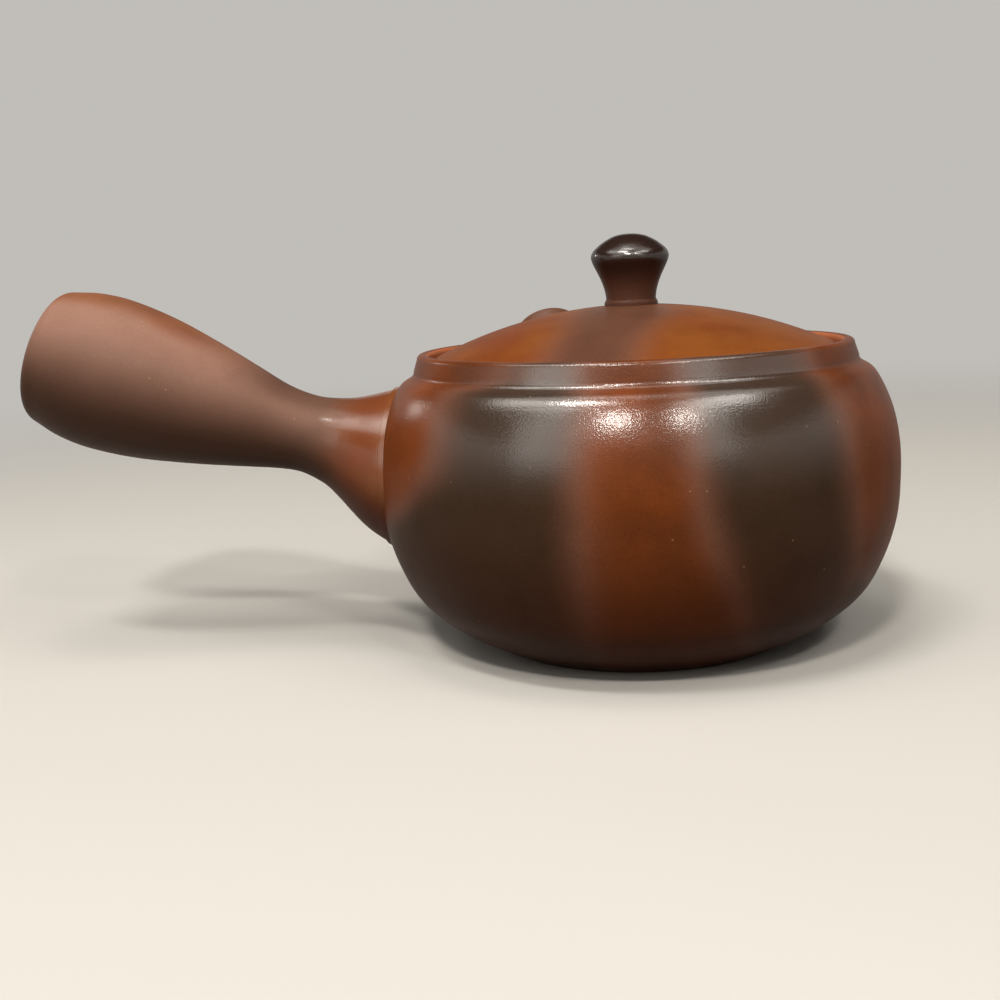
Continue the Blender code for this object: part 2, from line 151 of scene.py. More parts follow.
# Lamps: name, azimuth and height in degrees, distance, width and height in metres, watts
LAMPS = (
    ("key", -98.5, 41.0, 1.0, 0.12, 0.07, 4.34),
    ("key_right", -68.0, 40.0, 1.0, 0.08, 0.06, 1.33),
    ("side_strip", -121.0, 61.5, 1.0, 0.30, 0.08, 3.5),
    ("ceiling_spot", -120.0, 84.0, 1.1, 0.36, 0.22, 1.4),
    ("front_soft", -92.0, 29.0, 1.1, 0.56, 0.14, 0.49),
    ("left_soft", -150.0, 52.0, 1.1, 0.74, 0.36, 1.54),
    ("back_left", 146.0, 16.0, 1.1, 0.08, 0.08, 0.49),
    ("fill", -42.0, 51.0, 1.1, 0.60, 0.30, 2.03),
    ("right_strip", -58.0, 26.0, 1.1, 0.40, 0.60, 0.84),
    ("tall_strip", -130.0, 22.0, 1.1, 0.56, 0.65, 1.47),
    ("overhead", -90.0, 86.0, 1.1, 1.90, 0.60, 3.29),
)
LAMP_COLOUR = (1.0, 0.955, 0.885)
LAMP_AIM = Vector((0.0, 0.0, 0.035))
CAMERA_PLACE = (0.0, -0.267736, 0.074186)
CAMERA_AHEAD = (-0.09748971, 0.9801829, -0.17244488)
CAMERA_ROLL = 2.74
CAMERA_LENS = 50.4
# The floor's flat reach, the radius that it curves up with, and how far it is lit evenly, in metres
FLOOR_REACH = 1.6
FLOOR_CURVE = 1.2
FLOOR_EVEN = (0.15, 0.65)
# Strength of its own glow there, and how much of the light that falls on it goes back to the pot
BACKDROP_GLOW = 0.88
FLOOR_BOUNCE = 0.22


def length(name, description, size):
    """A size property, given in millimetres."""
    return FloatProperty(name=name, description=description, default=size * MM, min=0.0,
                         precision=5, unit="LENGTH", subtype="DISTANCE")


def slope(name, description, degrees):
    return FloatProperty(name=name, description=description, default=math.radians(degrees),
                         unit="ROTATION", subtype="ANGLE")


def share(name, description, value):
    return FloatProperty(name=name, description=description, default=value, min=0.0, max=1.0,
                         subtype="FACTOR")


def tint(name, description, written):
    """A colour property, given as it looks on the screen."""
    parts = [int(written[place:place + 2], 16) / 255.0 for place in (0, 2, 4)]
    linear = [part / 12.92 if part < 0.04045 else ((part + 0.055) / 1.055) ** 2.4 for part in parts]
    return FloatVectorProperty(name=name, description=description, default=linear, size=3,
                               min=0.0, max=1.0, subtype="COLOR")


class TeapotPot(bpy.types.PropertyGroup):
    """Sizes of the thrown pot"""
    radius: length("Radius", "Widest radius of the belly", 49.0)
    height: length("Shoulder", "Height of the shoulder", 52.3)
    wall: length("Wall", "Thickness of the belly's wall", 3.0)
    floor: length("Floor", "Thickness of the floor", 3.5)
    fillet: length("Floor curve", "Curve between the floor and the wall", 2.0)
    cove: length("Cove", "Hollow curve from the shoulder up into the collar", 1.5)
    slope: slope("Shoulder slope", "Slope of the shoulder at the collar's foot", 31.0)
    collar: length("Collar", "Height of the collar above the shoulder", 4.05)
    lean: length("Lean", "How far the collar draws in towards its rim", 0.7)
    collar_wall: length("Collar wall", "Thickness of the collar", 2.3)
    rim: length("Rim", "Rounding of the rim", 0.95)
    seat_depth: length("Seat depth", "From the rim down to the ledge that the lid sits on", 3.6)
    seat_width: length("Seat width", "Width of that ledge", 5.6)
    shelf: length("Shelf", "Thickness of that ledge", 3.2)
    shelf_round: length("Shelf edge", "Rounding of its edge", 0.5)
    gap: length("Gap", "Gap between pieces that touch", 0.3)
    slip: length("Slip", "Width of the bead of slip at the handle and the spout", 1.2)
    proud: length("Proud", "How far that bead stands out", 0.35)


class TeapotHandle(bpy.types.PropertyGroup):
    """Sizes of the hollow handle"""
    length: length("Length", "From the belly's widest radius to the free end", 70.0)
    radius: length("Radius", "Widest radius", 15.1)
    wall: length("Wall", "Thickness of the wall", 2.8)
    rise: slope("Rise", "How steeply the handle rises", 19.5)
    height: share("Height", "Where its axis leaves the pot, of the shoulder's height", 0.683)
    edge: length("Edge", "Rounding of the free end", 3.2)
    lip: length("Lip", "Thickness of the turned-in end", 4.0)
    mouth: length("Mouth", "Radius of the open end", 8.6)
    mouth_edge: length("Mouth edge", "Rounding of the open end", 1.0)
    lift: length("Lift", "How far the root is pushed up as the handle is luted on", 0.95)
    neck: length("Neck", "Length of the root that is pushed up whole", 9.0)
    give: length("Give", "Length over which that push dies away", 16.0)


class TeapotSpout(bpy.types.PropertyGroup):
    """Sizes of the spout and its strainer"""
    length: length("Length", "From the pot to the tip", 26.0)
    root: length("Root", "Radius that the spout's outline is drawn to", 11.4)
    wall: length("Wall", "Thickness of the wall", 2.2)
    lip: length("Lip", "Rounding of the tip", 0.7)
    rise: slope("Rise", "How steeply the spout rises", 42.0)
    turn: slope("Direction", "Direction of the spout, from +X towards +Y", 107.0)
    height: share("Height", "Where its axis leaves the pot, of the shoulder's height", 0.736)
    hole: length("Hole", "Radius of the hole in the pot behind the spout", 8.0)
    dome: length("Strainer", "Radius of the strainer's dome", 12.4)
    dome_wall: length("Strainer wall", "Thickness of the strainer", 2.0)
    dome_sink: length("Strainer sink", "How far its centre lies behind the inner wall", 1.0)
    dome_height: share("Strainer height", "Height of its centre, of the shoulder's height", 0.68)
    pierce: length("Piercing", "Radius of one strainer hole", 0.7)
    pitch: length("Pitch", "Distance from hole to hole", 2.8)
    pierced: share("Pierced", "How far round the dome the holes reach", 0.66)


class TeapotLid(bpy.types.PropertyGroup):
    """Sizes of the lid and its knob"""
    clearance: length("Clearance", "Gap round the lid, inside the collar", 1.0)
    edge: length("Edge", "Height of the lid's edge", 2.2)
    edge_round: length("Edge rounding", "Rounding of that edge", 0.5)
    rise: length("Rise", "Rise of the dome", 8.6)
    wall: length("Wall", "Thickness of the dome", 3.0)
    flange_gap: length("Flange gap", "Gap round the flange, inside the ledge", 0.8)
    flange_depth: length("Flange depth", "How far the flange drops into the mouth", 6.0)
    flange_wall: length("Flange wall", "Thickness of the flange", 2.8)
    flange_round: length("Flange rounding", "Rounding of the flange", 0.6)
    vent: length("Vent", "Radius of the vent hole", 1.4)
    vent_place: share("Vent place", "Where the vent is, of the lid's radius", 0.4)
    knob_slip: length("Knob slip", "Height of the ring of slip under the knob", 0.7)
    knob_proud: length("Knob slip proud", "How far that ring stands out", 0.35)
    knob_height: length("Knob height", "Height of the knob", 11.8)
    knob_radius: length("Knob radius", "Widest radius of the knob", 7.3)


class TeapotFinish(bpy.types.PropertyGroup):
    """Colours of the fired clay, some of them partly painted shade"""
    clay: tint("Clay", "Red clay of the pot", "773B19")
    clay_deep: tint("Deep clay", "Where the red clay fired darker", "5F3117")
    lid: tint("Lid clay", "Orange clay of the lid", "81481E")
    halo: tint("Halo", "Mauve edge of a smoke patch", "744B3A")
    smoke: tint("Smoke", "Heart of a smoke patch", "3D2C20")
    # Foot colour: partly clay fired darker at the foot, partly painted shade on the lower belly and under
    # the handle's root
    foot: tint("Foot", "Darker clay towards the foot", "442010")
    handle: tint("Handle", "Smoked skin of the handle", "977060")
    # Handle underside colour: painted shade under the handle and over its neck
    under: tint("Handle underside", "Darker skin under the handle", "331D0F")
    knob: tint("Knob", "Smoked knob", "27140D")
    inside: tint("Inside", "Clean clay inside the pot", "BC6B3F")
    speck: tint("Speck", "Pale grit in the clay", "FED09B")


class TeapotStudio(bpy.types.PropertyGroup):
    """Floor, lamps and camera"""
    backdrop: tint("Backdrop", "Colour of the floor and the backdrop", "CCC9C4")
    lamps: FloatProperty(name="Lamps", description="Strength of all the lamps together",
                         default=1.0, min=0.0)
    room: FloatProperty(name="Room", description="Strength of the light from all round",
                        default=0.085, min=0.0)
    steps: IntProperty(name="Steps", description="Facets round the pot", default=192, min=24)


def sum_of(operation, swapped=False):
    """A Wire's method that adds a Math node."""
    def method(self, other):
        first, second = (other, self) if swapped else (self, other)
        return self.finish.node("ShaderNodeMath", {"operation": operation}, {0: first, 1: second})
    return method


class Wire:
    """A node's output in a finish. Sums on wires add Math nodes."""

    def __init__(self, finish, socket):
        self.finish = finish
        self.socket = socket

    __add__ = sum_of("ADD")
    __radd__ = sum_of("ADD", True)
    __sub__ = sum_of("SUBTRACT")
    __rsub__ = sum_of("SUBTRACT", True)
    __mul__ = sum_of("MULTIPLY")
    __rmul__ = sum_of("MULTIPLY", True)
    __truediv__ = sum_of("DIVIDE")
    __rtruediv__ = sum_of("DIVIDE", True)
    __pow__ = sum_of("POWER")
    __rpow__ = sum_of("POWER", True)
    larger = sum_of("MAXIMUM")


class Finish:
    """The nodes of one material, written as expressions."""

    def __init__(self, name):
        self.material = bpy.data.materials.new(name)
        self.material.use_nodes = True
        self.tree = self.material.node_tree
        self.tree.nodes.clear()

    def node(self, kind, settings=None, sockets=None, output=0):
        """Add a node: its settings first, then the value or the wire of each socket."""
        made = self.tree.nodes.new(kind)
        for name, value in (settings or {}).items():
            setattr(made, name, value)
        for name, value in (sockets or {}).items():
            if isinstance(value, Wire):
                self.tree.links.new(value.socket, made.inputs[name])
            else:
                made.inputs[name].default_value = value
        return Wire(self, made.outputs[output]) if made.outputs else None

    def place(self):
        """The place on the piece, in millimetres."""
        spot = self.node("ShaderNodeTexCoord", output="Object")
        return self.node("ShaderNodeVectorMath", {"operation": "SCALE"}, {0: spot, "Scale": 1.0 / MM})

    def parts(self, vector):
        """The three parts of a vector."""
        made = self.node("ShaderNodeSeparateXYZ", None, {0: vector})
        return [Wire(self, output) for output in made.socket.node.outputs]

    def noise(self, vector, size, detail=2.0, roughness=0.5):
        """Noise whose lumps are about size millimetres across."""
        return self.node("ShaderNodeTexNoise", None, {
            "Vector": vector, "Scale": 1.0 / size, "Detail": detail, "Roughness": roughness})

    def smooth(self, value, low, high, start=0.0, end=1.0):
        """Ease from start to end while value goes from low to high."""
        return self.node("ShaderNodeMapRange", {"interpolation_type": "SMOOTHSTEP"}, {
            "Value": value, "From Min": low, "From Max": high, "To Min": start, "To Max": end})

    def mix(self, amount, first, second, blend="MIX"):
        """Mix two colours."""
        return self.node("ShaderNodeMix", {"data_type": "RGBA", "blend_type": blend},
                         {0: amount, 6: full(first), 7: full(second)}, 2)

    def bump(self, height):
        """A surface raised by a height in millimetres."""
        return self.node("ShaderNodeBump", None, {"Height": height, "Distance": MM, "Strength": 1.0})

    def close(self, colour, roughness, normal, level, gloss=None):
        """Finish with satin clay, polished by rubbing as far as gloss says."""
        sockets = {"Base Color": full(colour), "Roughness": roughness, "Normal": normal,
                   "Specular IOR Level": level}
        surface = self.node("ShaderNodeBsdfPrincipled", None, sockets)
        if gloss:
            sockets.update({"Roughness": POLISH_ROUGHNESS, "IOR": POLISH_IOR, "Specular IOR Level": 0.5})
            polished = self.node("ShaderNodeBsdfPrincipled", None, sockets)
            surface = self.node("ShaderNodeMixShader", None, {0: gloss, 1: surface, 2: polished})
        return self.wear(surface)

    def wear(self, surface):
        """Join a surface to the material's output."""
        self.node("ShaderNodeOutputMaterial", None, {"Surface": surface})
        return self.material


def full(colour):
    """A colour with its alpha, or a wire as it is."""
    return colour if isinstance(colour, Wire) else (*colour[:3], 1.0)


# Finishes. Every place and distance in them is in millimetres.

def grain(finish, spot, turning, coarse=1.0):
    """The fired clay's skin: fine pebbly grain, soft dents, and turning lines that follow turning."""
    pebbles = finish.noise(spot, PEBBLES[0], 1.0) * (PEBBLES[1] * coarse)
    dents = finish.noise(spot, DENTS[0]) * (DENTS[1] * coarse)
    lines = finish.noise(turning, TURNING_LINES[0], 2.0, 0.7) * (TURNING_LINES[1] * coarse)
    return pebbles + dents + lines


def specks(finish, spot):
    """Where sparse pale grit shows, 0 or 1 with soft edges."""
    spacing, size = GRIT
    cell = finish.node("ShaderNodeTexVoronoi", {"feature": "F1"}, {"Vector": spot, "Scale": 1.0 / spacing})
    chance = finish.parts(Wire(finish, cell.socket.node.outputs["Color"]))[0]
    return finish.smooth(cell, size, size / 2.0) * finish.smooth(chance, *GRIT_CHANCE)


def from_axis(across, ahead):
    """Distance from an axis, never quite nothing."""
    return ((across * across + ahead * ahead) ** 0.5).larger(0.01)


def round_and_up(finish, away, up):
    """A place that is the same all the way round an axis, as a turned piece's marks are."""
    return finish.node("ShaderNodeCombineXYZ", None, {0: away, 1: 0.0, 2: up})


def deepest_of(depths):
    """The deepest of some patches of smoke at each place."""
    deepest = depths[0]
    for depth in depths[1:]:
        deepest = deepest.larger(depth)
    return deepest


def smoke_on_wall(finish, spot, wander):
    """How deep the smoke on the pot's wall is, 0 to 1."""
    x, y, z = finish.parts(spot)
    away = from_axis(x, y)
    x, y = x / away, y / away
    below = (BODY_SMOKE_HEIGHT - z).larger(0.0)
    spread = below * below / SMOKE_SPREAD - finish.smooth(z, *COLLAR_FOOT) * SMOKE_COLLAR_STEP
    depths = []
    for *edges, most in BODY_SMOKE:
        depth = most
        for side, (edge, softness, spreads) in zip((1.0, -1.0), edges):
            turn, soft = math.radians(edge), math.sin(math.radians(softness))
            past = (x * math.cos(turn) + y * math.sin(turn)) * side
            past = past + spread * math.radians(spreads) + wander
            depth = finish.smooth(past, -soft, soft) * depth
        depths.append(depth)
    return deepest_of(depths) * finish.smooth(z, *COLLAR_FOOT, 1.0, 0.8)


def smoke_on_lid(finish, spot, wander):
    """How deep the smoke across the lid is, 0 to 1."""
    x, y = finish.parts(spot)[:2]
    depths = []
    for middle, core, edge, most in LID_SMOKE:
        turn = math.radians(middle)
        across = x * math.cos(turn) + y * math.sin(turn) + wander * SMOKE_WANDER
        ahead = x * math.sin(turn) - y * math.cos(turn)
        beside = finish.smooth(across.larger(0.0 - across), edge, core)
        depths.append(beside * finish.smooth(ahead, *LID_SMOKE_END) * most)
    return deepest_of(depths)


def smoked(finish, smoke, clay, colours):
    """Clay, then the mauve edge of a patch, then its heart."""
    edged = finish.mix(finish.smooth(smoke, 0.0, 0.6), clay, colours.halo)
    return finish.mix(finish.smooth(smoke, 0.25, 1.0), edged, colours.smoke)


def mottled(finish, spot, colour, colours, depth=0.16):
    """Darken a colour by its grain, and add pale grit."""
    fine = finish.noise(spot, 0.5, 2.0, 0.7)
    broad = finish.noise(spot, 9.0, 3.0)
    amount = (finish.smooth(fine, 0.35, 0.75) + finish.smooth(broad, 0.4, 0.7)) * depth
    dark = finish.mix(amount, colour, MOTTLE_SHADE, "MULTIPLY")
    return finish.mix(specks(finish, spot) * GRIT_SHOWS, dark, colours.speck)


def fired_red(finish, spot, size, first, second):
    """How a clay fired in broad soft patches of two reds."""
    return finish.mix(finish.smooth(finish.noise(spot, size, 3.0), 0.35, 0.7), first, second)


def pot_finish(colours, name, smoke_on, clay, deep, bare_gloss, smoke_gloss):
    """Red clay with soft smoke patches, and darker towards the foot, partly as it fired and partly as
    painted shade.
    """
    finish = Finish(name)
    spot = finish.place()
    x, y, z = finish.parts(spot)
    drawn = finish.node("ShaderNodeVectorMath", {"operation": "MULTIPLY"}, {0: spot, 1: (1.0, 1.0, 0.45)})
    wander = (finish.noise(drawn, 30.0) - 0.5) * 0.2
    smoke = smoke_on(finish, spot, wander)
    # Partly painted shade: the clay darkens towards the foot, where less light falls, as well as where it
    # fired darker
    foot = finish.smooth(z + wander * 30.0, *FOOT_FIRED_AND_SHADED)
    red = finish.mix(foot, fired_red(finish, spot, 16.0, clay, deep), deep)
    colour = finish.mix(foot * 0.72, smoked(finish, smoke, red, colours), colours.foot)
    skin = finish.bump(grain(finish, spot, round_and_up(finish, from_axis(x, y), z)))
    rough = 0.42 + finish.noise(spot, 5.0) * 0.06 - smoke * 0.04
    reach = finish.smooth(z, *POLISH_RISE) * finish.smooth(z, *COLLAR_SIDE, 1.0, 0.75)
    gloss = (bare_gloss + smoke * smoke_gloss) * reach
    return finish.close(mottled(finish, spot, colour, colours), rough, skin, 0.04, gloss)


def inside_finish(colours):
    """Clean matte clay with throwing rings."""
    finish = Finish("clay_inside")
    spot = finish.place()
    x, y, z = finish.parts(spot)
    turning = round_and_up(finish, from_axis(x, y), z)
    rings = finish.noise(turning, RINGS[0], 1.0) * RINGS[1]
    streaks = finish.smooth(finish.noise(turning, 3.0), 0.3, 0.7) * 0.35
    colour = finish.mix(streaks, colours.inside, colours.clay_deep)
    skin = finish.bump(grain(finish, spot, turning, 1.2) + rings)
    return finish.close(mottled(finish, spot, colour, colours), 0.62, skin, 0.35)


def handle_finish(colours, at, turn):
    """Mauve-brown smoked skin that clears to red clay at the root and along the top, with painted shade
    under the handle, over its neck and under its root.
    """
    finish = Finish("clay_handle")
    spot = finish.place()
    own = finish.node("ShaderNodeMapping", {"vector_type": "TEXTURE"}, {
        "Vector": spot, "Location": [size / MM for size in at], "Rotation": turn})
    down, side, along = finish.parts(own)
    wander = (finish.noise(own, 14.0, 3.0, 0.55) - 0.5) * 16.0
    cover = finish.smooth(along + wander * 0.5, *ROOT_RED)
    away = from_axis(down, side)
    top = wander * 0.01 - down / away
    crown = finish.smooth(top, 0.8, 1.0) * finish.smooth(along, *CROWN_RED) * 0.7
    # Painted shade under the handle, growing darker towards its underside
    under = finish.smooth(down / away + wander * 0.01, -0.98, 0.5)
    # Painted shade over the neck, darker along its top
    neck = finish.smooth(along, *NECK_PAINTED_SHADE) * (finish.smooth(top, 0.55, 0.95) * 0.35 + 0.3)
    # The smoked skin, mixed towards the painted shade colour under the handle and over the neck
    smoke_and_shade = finish.mix(neck + under * (0.9 - neck), colours.handle, colours.under)
    # Painted shade under the red root: its underside darkens towards the foot colour
    low = finish.smooth(0.0 - top, -0.1, 0.7) * 0.9
    red = finish.mix(low, fired_red(finish, spot, 12.0, colours.lid, colours.clay), colours.foot)
    colour = finish.mix(cover * (1.0 - crown), red, smoke_and_shade)
    skin = finish.bump(grain(finish, spot, round_and_up(finish, away, along), 0.45))
    rough = 0.44 + cover * 0.09 + finish.noise(spot, 4.0) * 0.05
    gloss = (1.0 - cover) * (1.0 - under) * 0.8
    return finish.close(mottled(finish, spot, colour, colours, 0.1), rough, skin, 0.12, gloss)


def spout_finish(colours):
    """Red clay, smoked towards the tip."""
    finish = Finish("clay_spout")
    spot = finish.place()
    height = finish.parts(spot)[2] + (finish.noise(spot, 10.0, 3.0) - 0.5) * 10.0
    red = fired_red(finish, spot, 12.0, colours.clay, colours.clay_deep)
    colour = smoked(finish, finish.smooth(height, *SPOUT_SMOKE) * 0.5, red, colours)
    skin = finish.bump(grain(finish, spot, spot, 0.8))
    return finish.close(mottled(finish, spot, colour, colours), 0.38, skin, 0.4)


def knob_finish(colours):
    """Dark smoked clay, a little redder down its waist."""
    finish = Finish("clay_knob")
    spot = finish.place()
    x, y, z = finish.parts(spot)
    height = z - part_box("knob")[0].z / MM
    colour = finish.mix(finish.smooth(height, *KNOB_WAIST) * 0.42, colours.knob, colours.halo)
    skin = finish.bump(grain(finish, spot, round_and_up(finish, from_axis(x, y), z), 0.7))
    gloss = finish.smooth(height, *KNOB_HEAD) * 0.55
    return finish.close(mottled(finish, spot, colour, colours, 0.12), 0.4, skin, 0.12, gloss)


def floor_finish(colour):
    """Pale to the eye and in reflections, evenly so far away, and darker to the light it throws back."""
    finish = Finish("studio_floor")
    path = finish.node("ShaderNodeLightPath")
    outputs = path.socket.node.outputs
    seen = path.larger(Wire(finish, outputs["Is Glossy Ray"]))
    seen = seen.larger(Wire(finish, outputs["Is Transmission Ray"]))
    shade = finish.mix(seen, [part * FLOOR_BOUNCE for part in colour], colour)
    cloth = finish.node("ShaderNodeBsdfPrincipled", None, {
        "Base Color": shade, "Roughness": 0.9, "Specular IOR Level": 0.1})
    glow = finish.node("ShaderNodeEmission", None, {"Color": full(colour), "Strength": BACKDROP_GLOW})
    far = finish.node("ShaderNodeVectorMath", {"operation": "LENGTH"}, {0: finish.place()}, 1)
    even = finish.smooth(far, *(reach / MM for reach in FLOOR_EVEN)) * seen
    return finish.wear(finish.node("ShaderNodeMixShader", None, {0: even, 1: cloth, 2: glow}))


# Turning and cutting. Half sections are drawn in X and Z.

def scaled(shares, along, across):
    """Turn a table of shares into section points: across is X and along is Z."""
    return [Vector((wide * across, high * along)) for high, wide in shares]


def corners(*pairs):
    """Section points from pairs of X and Z."""
    return [Vector(pair) for pair in pairs]


def smooth_through(points, pieces):
    """Run a centripetal Catmull-Rom curve through the points."""
    ends = [2.0 * points[0] - points[1]] + list(points) + [2.0 * points[-1] - points[-2]]
    line = []
    for first in range(len(points) - 1):
        p0, p1, p2, p3 = ends[first:first + 4]
        t1 = math.sqrt((p1 - p0).length)
        t2 = t1 + math.sqrt((p2 - p1).length)
        t3 = t2 + math.sqrt((p3 - p2).length)
        for piece in range(pieces):
            t = t1 + (t2 - t1) * piece / pieces
            a1 = p0.lerp(p1, t / t1)
            a2 = p1.lerp(p2, (t - t1) / (t2 - t1))
            a3 = p2.lerp(p3, (t - t2) / (t3 - t2))
            b1 = a1.lerp(a2, t / t2)
            b2 = a2.lerp(a3, (t - t1) / (t3 - t1))
            line.append(b1.lerp(b2, (t - t1) / (t2 - t1)))
    line.append(points[-1].copy())
    return line


def inset(line, depth):
    """Move a section that runs down its outer side inwards by depth, square to itself."""
    moved = []
    for place, point in enumerate(line):
        ahead = line[min(place + 1, len(line) - 1)] - line[max(place - 1, 0)]
        outward = Vector((-ahead.y, ahead.x)).normalized()
        moved.append(point - outward * depth)
    return moved


def arc(centre, radius, start, end, points=6):
    """Points on an arc, both ends among them; the angles are in degrees."""
    line = []
    for place in range(points + 1):
        angle = math.radians(start + (end - start) * place / points)
        line.append(Vector((centre[0] + radius * math.cos(angle), centre[1] + radius * math.sin(angle))))
    return line


def ball_radius(radius, rise):
    """Radius of the ball that a dome is cut from."""
    return (radius * radius + rise * rise) / (2.0 * rise)


def width_at(line, height):
    """A section's width at a height."""
    for upper, lower in zip(line, line[1:]):
        if upper.y >= height >= lower.y:
            return upper.lerp(lower, (upper.y - height) / (upper.y - lower.y)).x
    return line[-1].x


def only(*pieces):
    """Select these pieces and nothing else."""
    bpy.ops.object.select_all(action="DESELECT")
    for piece in pieces:
        piece.select_set(True)
    bpy.context.view_layer.objects.active = pieces[0]


@contextmanager
def editing(piece):
    """Edit a piece, with all of it selected to begin with."""
    only(piece)
    bpy.ops.object.mode_set(mode="EDIT")
    bpy.ops.mesh.select_all(action="SELECT")
    yield
    bpy.ops.object.mode_set(mode="OBJECT")


def turned(name, section, steps, closed=False):
    """Draw half a section point by point, then spin it about Z into a closed piece."""
    bpy.ops.object.select_all(action="DESELECT")
    bpy.ops.mesh.primitive_plane_add(size=MM)
    piece = bpy.context.object
    piece.name = piece.data.name = name
    with editing(piece):
        bpy.ops.mesh.merge(type="CENTER")
        here = Vector((0.0, 0.0))
        for number, point in enumerate(section + section[:1] if closed else section):
            step = {"value": (point.x - here.x, 0.0, point.y - here.y)}
            if number:
                bpy.ops.mesh.extrude_vertices_move(TRANSFORM_OT_translate=step)
            else:
                bpy.ops.transform.translate(**step)
            here = point
        bpy.ops.mesh.select_all(action="SELECT")
        bpy.ops.mesh.remove_doubles(threshold=WELD)
        bpy.ops.mesh.spin(steps=steps, angle=math.tau, center=(0.0, 0.0, 0.0), axis=(0.0, 0.0, 1.0))
        bpy.ops.mesh.select_all(action="SELECT")
        bpy.ops.mesh.remove_doubles(threshold=WELD)
        bpy.ops.mesh.normals_make_consistent(inside=False)
    return piece


def drill(radius, reach, steps):
    """A round cutter on Z that reaches as far both ways."""
    section = corners((0.0, reach), (radius, reach), (radius, -reach), (0.0, -reach))
    return turned("drill", section, steps)


def pushed(piece, below, way, reach):
    """Push the end of a piece below a height, and let the push die away over reach."""
    only(piece)
    bpy.ops.object.mode_set(mode="EDIT")
    bpy.ops.mesh.select_all(action="DESELECT")
    bpy.ops.object.mode_set(mode="OBJECT")
    for vertex in piece.data.vertices:
        vertex.select = vertex.co.z < below
    bpy.ops.object.mode_set(mode="EDIT")
    bpy.ops.transform.translate(value=way, use_proportional_edit=True, proportional_edit_falloff="SMOOTH",
                                proportional_size=reach)
    bpy.ops.object.mode_set(mode="OBJECT")
    return piece


def stood(piece, at, rise=math.pi / 2.0, azimuth=0.0):
    """Lay a piece's own Z axis on a line that rises towards an azimuth, and keep the place in its mesh."""
    only(piece)
    piece.location = at
    piece.rotation_euler = (0.0, math.pi / 2.0 - rise, azimuth)
    bpy.ops.object.transform_apply(location=True, rotation=True, scale=True)
    return piece


def cut(piece, cutter, operation="DIFFERENCE", keep=False):
    """Cut a piece with a cutter, which is then thrown away unless it is kept."""
    only(piece)
    bpy.ops.object.modifier_add(type="BOOLEAN")
    boolean = piece.modifiers[-1]
    boolean.operation = operation
    boolean.solver = "EXACT"
    boolean.object = cutter
    bpy.ops.object.modifier_apply(modifier=boolean.name)
    if not keep:
        only(cutter)
        bpy.ops.object.delete()
    return piece


def eased(piece, width):
    """Round a piece's sharp edges a little, as a wet finger does."""
    only(piece)
    bpy.ops.object.modifier_add(type="BEVEL")
    bevel = piece.modifiers[-1]
    bevel.width = width
    bevel.segments = 3
    bevel.limit_method = "ANGLE"
    bevel.angle_limit = math.radians(50.0)
    bpy.ops.object.modifier_apply(modifier=bevel.name)
    return piece


def fired(piece, material, body, node):
    """Smooth a piece, dress it, and let it stand for its solid."""
    with editing(piece):
        bpy.ops.mesh.remove_doubles(threshold=WELD)
        bpy.ops.mesh.dissolve_degenerate(threshold=WELD)
    bpy.ops.object.shade_smooth_by_angle(angle=math.radians(35.0))
    piece.data.materials.clear()
    piece.data.materials.append(material)
    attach(piece, body)
    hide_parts(node)
    return piece


